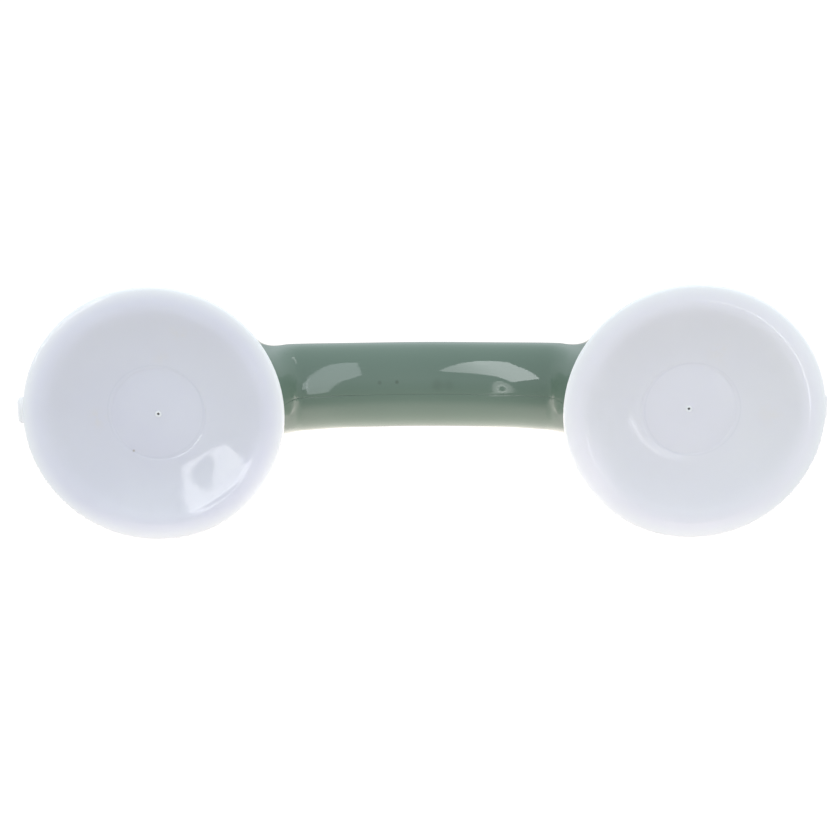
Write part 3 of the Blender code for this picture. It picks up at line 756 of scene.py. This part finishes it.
def cheek_outline():
    points = [cam_point(-math.pi + math.pi / 2 * i / 30) for i in range(31)]
    points += [(4.2, PIN_D - 7.1), (6.2, PIN_D - 6.0), (7.6, PIN_D - 4.7), (8.8, PIN_D - 3.2), (10.0, PIN_D - 0.6)]
    points += [(11.0, lever_top(11.0) - LEVER_T * 0.55), (8.0, lever_top(8.0) - 0.8), (5.0, lever_top(5.0) - 0.8)]
    stop = math.acos(-CAM_OPEN / ROLL_R)
    r = ROLL_R - 0.5
    points += [(r * math.cos(a), PIN_D + r * math.sin(a))
               for a in (ROLL_ANGLE + (stop - ROLL_ANGLE) * i / 10 for i in range(11))]
    return points


def make_lever(side):
    body = lever_body()
    for low, high in ((CHEEK_IN, CHEEK_OUT), (-CHEEK_OUT, -CHEEK_IN)):
        body = cut(body, prism("cheek", cheek_outline(), low, high), operation="UNION")
    body = tidy(cut(body, rod("bore", BORE_R, -8.9, 8.9, (0.0, PIN_D), "Y", 40)))
    body.transform(end_matrix(side))
    piece(f"{side}_flip_lever", body, LEVER_WHITE, f"{side}_lever", [f"lever_{side}"], 35)


# =====================================================================================================
# the return springs
# =====================================================================================================
def make_spring(side):
    low = CUP_TOP + GAP + FOOT_T + GAP + SPRING_WIRE
    high = DECK_UNDER - GAP - SPRING_WIRE
    path = []
    count = int(SPRING_TURNS * 44) + 1
    for i in range(count):
        t = i / (count - 1)
        a = math.tau * SPRING_TURNS * t
        d = low + (high - low) * (0.10 * t + 0.90 * smoothstep(0.0, 1.0, t) * 0.55 + 0.90 * 0.45 * t)
        path.append((SPRING_R * math.cos(a), SPRING_R * math.sin(a), d))
    mesh = tube("spring", path, SPRING_WIRE, 14, end_matrix(side))
    obj = piece(f"{side}_spring_coil", mesh, STEEL, None, [f"return_spring_{side}"], 60)
    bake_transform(obj)


make_shells()
for side in ("left", "right"):
    make_cup(side)
    make_lever(side)
    make_spring(side)

# the carried-over CAD nodes take their own finishes
for name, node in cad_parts.items():
    if node.hide_render:
        continue
    if name.startswith("pressure_plate"):
        finish = PLATE_WHITE
    elif name.startswith("stem"):
        finish = POM
    else:
        finish = STEEL
    for slot in node.material_slots:
        slot.material = finish


# =====================================================================================================
# stage, lights and camera
# =====================================================================================================
def stage_mesh(name, points, material):
    mesh = bpy.data.meshes.new(name)
    mesh.from_pydata(points, [], [tuple(range(len(points)))])
    obj = bpy.data.objects.new(name, mesh)
    bpy.context.scene.collection.objects.link(obj)
    mesh.materials.append(material)
    return obj


def make_floor():
    """A white table top. It is brightest under the object and behind it, and duller towards the wall side."""
    n = Nodes("pale_floor")
    x, y, _ = n.axes()
    off = n.math("ABSOLUTE", x)
    path = n.node("ShaderNodeLightPath").outputs
    reach = n.mix(path["Is Glossy Ray"], n.span(off, 0.043, 0.061, 1.0, 0.0), n.span(off, 0.12, 0.30, 1.0, 0.0))
    middle = n.math("MULTIPLY", reach, n.span(off, 0.012, 0.042, 0.50, 1.0))
    deep = n.math("MULTIPLY", n.math("MULTIPLY", path["Is Glossy Ray"], n.span(off, 0.014, 0.034)), n.span(y, -0.19, -0.12))
    long = n.math("MAXIMUM", n.span(y, -0.08, -0.04), deep)
    strip = n.math("MULTIPLY", n.math("MULTIPLY", n.span(y, 0.0, 0.055, 1.0, 0.0), long), middle)
    behind = n.math("MULTIPLY", n.span(y, -0.05, 0.03, 1.0, 0.0), n.span(y, -0.35, -0.12, 0.6, 1.0))
    glow = n.mix(strip, n.mix(behind, (0.63, 0.65, 0.65), (1.25, 1.15, 1.10)), (2.7, 2.45, 2.35))
    n.set(Base_Color=(0.02, 0.02, 0.02, 1.0), Roughness=0.8, Emission_Strength=1.0,
          Emission_Color=n.mix(path["Is Camera Ray"], glow, (1.1, 1.1, 1.1)))
    n.shader.inputs["Specular IOR Level"].default_value = 0.0
    z = CAD_BOX[0][2] - 0.0002
    return stage_mesh("floor", [(-8, -8, z), (8, -8, z), (8, 8, z), (-8, 8, z)], n.material)


def area(name, place, target, size, power, colour=(1.0, 1.0, 1.0), glossy=True):
    light = bpy.data.lights.new(name, "AREA")
    light.shape = "RECTANGLE"
    light.size, light.size_y = size
    light.energy = power
    light.color = colour
    obj = bpy.data.objects.new(name, light)
    bpy.context.scene.collection.objects.link(obj)
    obj.location = place
    obj.rotation_euler = (Vector(target) - Vector(place)).to_track_quat("-Z", "Y").to_euler()
    obj.visible_camera = False
    obj.visible_glossy = glossy
    return obj


def make_world():
    """A plain bright dome, a little cool, and duller near the horizon."""
    world = bpy.data.worlds.new("studio")
    bpy.context.scene.world = world
    world.use_nodes = True
    tree = world.node_tree
    tree.nodes.clear()
    out = tree.nodes.new("ShaderNodeOutputWorld")
    mix = tree.nodes.new("ShaderNodeMixShader")
    path = tree.nodes.new("ShaderNodeLightPath")
    ray = tree.nodes.new("ShaderNodeTexCoord")
    parts = tree.nodes.new("ShaderNodeSeparateXYZ")
    height = tree.nodes.new("ShaderNodeMapRange")
    height.interpolation_type = "SMOOTHSTEP"
    for key, v in (("From Min", 0.0), ("From Max", 0.45), ("To Min", 0.70), ("To Max", 1.12)):
        height.inputs[key].default_value = v
    room = tree.nodes.new("ShaderNodeBackground")
    room.inputs[0].default_value = (0.92, 1.0, 1.05, 1.0)
    seen = tree.nodes.new("ShaderNodeBackground")
    seen.inputs[0].default_value = (1.0, 1.0, 1.0, 1.0)
    seen.inputs[1].default_value = 1.1
    tree.links.new(ray.outputs["Generated"], parts.inputs[0])
    tree.links.new(parts.outputs["Z"], height.inputs["Value"])
    tree.links.new(height.outputs["Result"], room.inputs[1])
    tree.links.new(path.outputs["Is Camera Ray"], mix.inputs[0])
    tree.links.new(room.outputs[0], mix.inputs[1])
    tree.links.new(seen.outputs[0], mix.inputs[2])
    tree.links.new(mix.outputs[0], out.inputs[0])


def aim(x, z, side, rise, reach):
    """Where the gloss at (x, -28, z) mm, looking out at these angles, meets a panel or the table top before it."""
    side, rise = math.radians(side), math.radians(rise)
    start = Vector((x * MM, -0.028, z * MM))
    along = Vector((math.tan(side), 1.0, math.tan(rise) / math.cos(side)))
    run = reach - start.y
    table = CAD_BOX[0][2] + 0.001
    if start.z + along.z * run < table:
        run = (table - start.z) / along.z
    return tuple(start + along * run)


def panel(name, points, faces, strength, receivers, tint=(1.0, 1.0, 1.0), grade=None):
    """A lit scrim that is only seen in the gloss of the receivers. grade is (axis, low, high, share at low)."""
    n = Nodes(name)
    n.tree.nodes.remove(n.shader)
    glow = n.node("ShaderNodeEmission")
    glow.inputs["Color"].default_value = (*tint, 1.0)
    glow.inputs["Strength"].default_value = strength
    if grade:
        axis, low, high, share = grade
        n.link(n.span(n.axes()[axis], low, high, strength * share, strength), glow.inputs["Strength"])
    both = n.node("ShaderNodeAddShader")
    n.link(glow.outputs[0], both.inputs[0])
    n.link(n.node("ShaderNodeBsdfTransparent").outputs[0], both.inputs[1])
    n.link(both.outputs[0], n.tree.nodes["Material Output"].inputs["Surface"])
    mesh = bpy.data.meshes.new(name)
    mesh.from_pydata(points, [], faces)
    mesh.materials.append(n.material)
    obj = bpy.data.objects.new(name, mesh)
    bpy.context.scene.collection.objects.link(obj)
    obj.visible_camera = obj.visible_diffuse = obj.visible_transmission = obj.visible_shadow = False
    group = bpy.data.collections.new(name + "_lights")
    for receiver in receivers:
        group.objects.link(bpy.data.objects[receiver])
    obj.light_linking.receiver_collection = group
    return obj


def make_panels():
    """Soft boxes and a ring lamp in front of the bar's wall side, seen in its gloss, and a long one for its front."""
    handle = ["handle_upper_half", "handle_lower_half"]
    tall = [(40.8, -28.8, 3.1), (38.7, -19.9, 23.4), (36.5, -20.8, 40.1), (30.8, -25.1, 63.7), (26.1, -24.9, 69.3),
            (21.5, -21.1, 70.4), (20.4, -13.9, 54.2), (19.3, -11.0, 35.1), (22.9, -12.4, 28.0), (26.9, -13.9, 18.8),
            (30.8, -15.3, -3.5), (36.2, -17.8, -7.0), (37.9, -18.7, 5.0)]
    points = [aim(x, 2 + 0.09 * e, a, e, 0.7) for x, a, e in tall]
    panel("soft_box_tall", points, [tuple(range(len(points)))], 2.5, handle, (0.95, 1.0, 1.05))
    bent = [(-8.2, 3.0, 43.4), (-12.9, 6.2, 54.7), (-17.5, 11.4, 66.8), (-21.8, 18.7, 73.2), (-26.5, 24.0, 73.2),
            (-31.9, 26.7, 70.1), (-35.8, 22.6, 58.6), (-39.7, 21.6, 47.9), (-44.4, 20.4, 25.9), (-39.4, 17.8, 22.8),
            (-34.4, 15.0, 17.4), (-31.9, 14.2, 24.4), (-28.3, 12.9, 31.5), (-19.3, 8.6, 38.6), (-14.0, 5.9, 40.9)]
    points = [aim(x, 2 + 0.09 * e, a, e, 0.7) for x, a, e in bent]
    panel("soft_box_bent", points, [tuple(range(len(points)))], 5.6, handle, (0.98, 1.0, 1.02), ("X", 0.03, 0.2, 0.5))
    for name, inner, outer, strength in (("ring_lamp_halo", 0.55, 1.0, 2.3), ("ring_lamp", 0.33, 0.55, 4.2)):
        points, faces, count = [], [], 40
        for k in range(count):
            a = math.tau * k / count
            for share in (inner, outer):
                u, v = share * math.cos(a), share * math.sin(a)
                points.append(aim(-31.1 - 3.5 * u, 2.0 + 2.3 * v, 13.2 + 1.65 * u, 2.0 + 18.0 * v, 0.4))
            j = (k + 1) % count
            faces.append((2 * k, 2 * k + 1, 2 * j + 1, 2 * j))
        panel(name, points, faces, strength, handle)

    window = [(0.205, -0.060), (0.225, -0.073), (0.262, -0.070), (0.310, -0.056), (0.345, -0.045), (0.378, -0.030),
              (0.428, -0.006), (0.438, 0.010), (0.420, 0.030), (0.382, 0.070), (0.330, 0.116), (0.286, 0.154),
              (0.250, 0.140), (0.226, 0.120), (0.218, 0.080), (0.208, 0.040), (0.196, 0.000), (0.186, -0.030)]
    points = [(x, 0.4, z) for x, z in window]
    count, middle = len(window), (0.268, 0.024)
    for x, z in window:
        a = math.atan2((z - middle[1]) / 0.060, (x - middle[0]) / 0.043)
        rise = 0.060 * math.sin(a)
        points.append((middle[0] + 0.043 * math.cos(a) + 0.3 * rise, 0.4, middle[1] + rise))
    faces = [(i, (i + 1) % count, count + (i + 1) % count, count + i) for i in range(count)]
    panel("side_window", points, faces, 4.2, ["right_suction_disc"])
    glint = [(-0.1415, 0.165), (-0.1415, 0.21), (-0.143, 0.25), (-0.138, 0.29), (-0.128, 0.305), (-0.172, 0.305),
             (-0.172, 0.165)]
    panel("table_glint", [(x, y, CAD_BOX[0][2] + 0.001) for x, y in glint], [tuple(range(len(glint)))], 4.4,
          ["left_suction_disc"], grade=("X", -0.172, -0.142, 0.0))

    front = [obj.name for obj in bpy.data.objects if obj.type == "MESH" and not obj.hide_render
             and not obj.name.endswith("_suction_disc") and obj.name != "floor" and "lamp" not in obj.name
             and "box" not in obj.name and "window" not in obj.name and "glint" not in obj.name]
    panel("long_box", [(-1.33, -0.12, 1.12), (-1.02, -0.86, 1.12), (-0.92, -0.78, 1.38), (-1.18, -0.10, 1.38)],
          [(0, 1, 2, 3)], 2.2, front, grade=("Z", 1.12, 1.30, 0.0))


def make_camera():
    """The photograph's view: from the wall side, a little above, at about 0.7 m."""
    tilt, roll, yaw = math.radians(15.75), math.radians(0.33), math.radians(0.38)
    distance, shift_x, shift_y, focal = 708.3, 2.79, 0.34, 1976.7
    right0 = Vector((math.cos(yaw), 0.0, math.sin(yaw)))
    up0 = Vector((-math.sin(yaw) * math.sin(tilt), math.cos(tilt), math.cos(yaw) * math.sin(tilt)))
    ahead = Vector((-math.sin(yaw) * math.cos(tilt), -math.sin(tilt), math.cos(yaw) * math.cos(tilt)))
    right = right0 * math.cos(roll) - up0 * math.sin(roll)
    up = right0 * math.sin(roll) + up0 * math.cos(roll)
    place = -right * shift_x - up * shift_y - ahead * distance
    world = lambda v: Vector((-v.x, -v.z, v.y))
    matrix = Matrix.Identity(4)
    for i, column in enumerate((world(right), world(up), -world(ahead), world(place) * MM)):
        for j in range(3):
            matrix[j][i] = column[j]
    camera = bpy.data.cameras.new("camera")
    camera.sensor_width = 36.0
    camera.lens = focal * 36.0 / 832.0
    camera.clip_start, camera.clip_end = 0.01, 50.0
    obj = bpy.data.objects.new("camera", camera)
    bpy.context.scene.collection.objects.link(obj)
    obj.matrix_world = matrix
    bpy.context.scene.camera = obj


make_floor()
make_world()
area("key", (-0.45, -0.95, 1.15), (0.0, 0.0, 0.0), (0.8, 0.6), 1.6, glossy=False)
make_panels()
make_camera()
bpy.context.scene.view_settings.view_transform = "Standard"

bpy.context.view_layer.update()
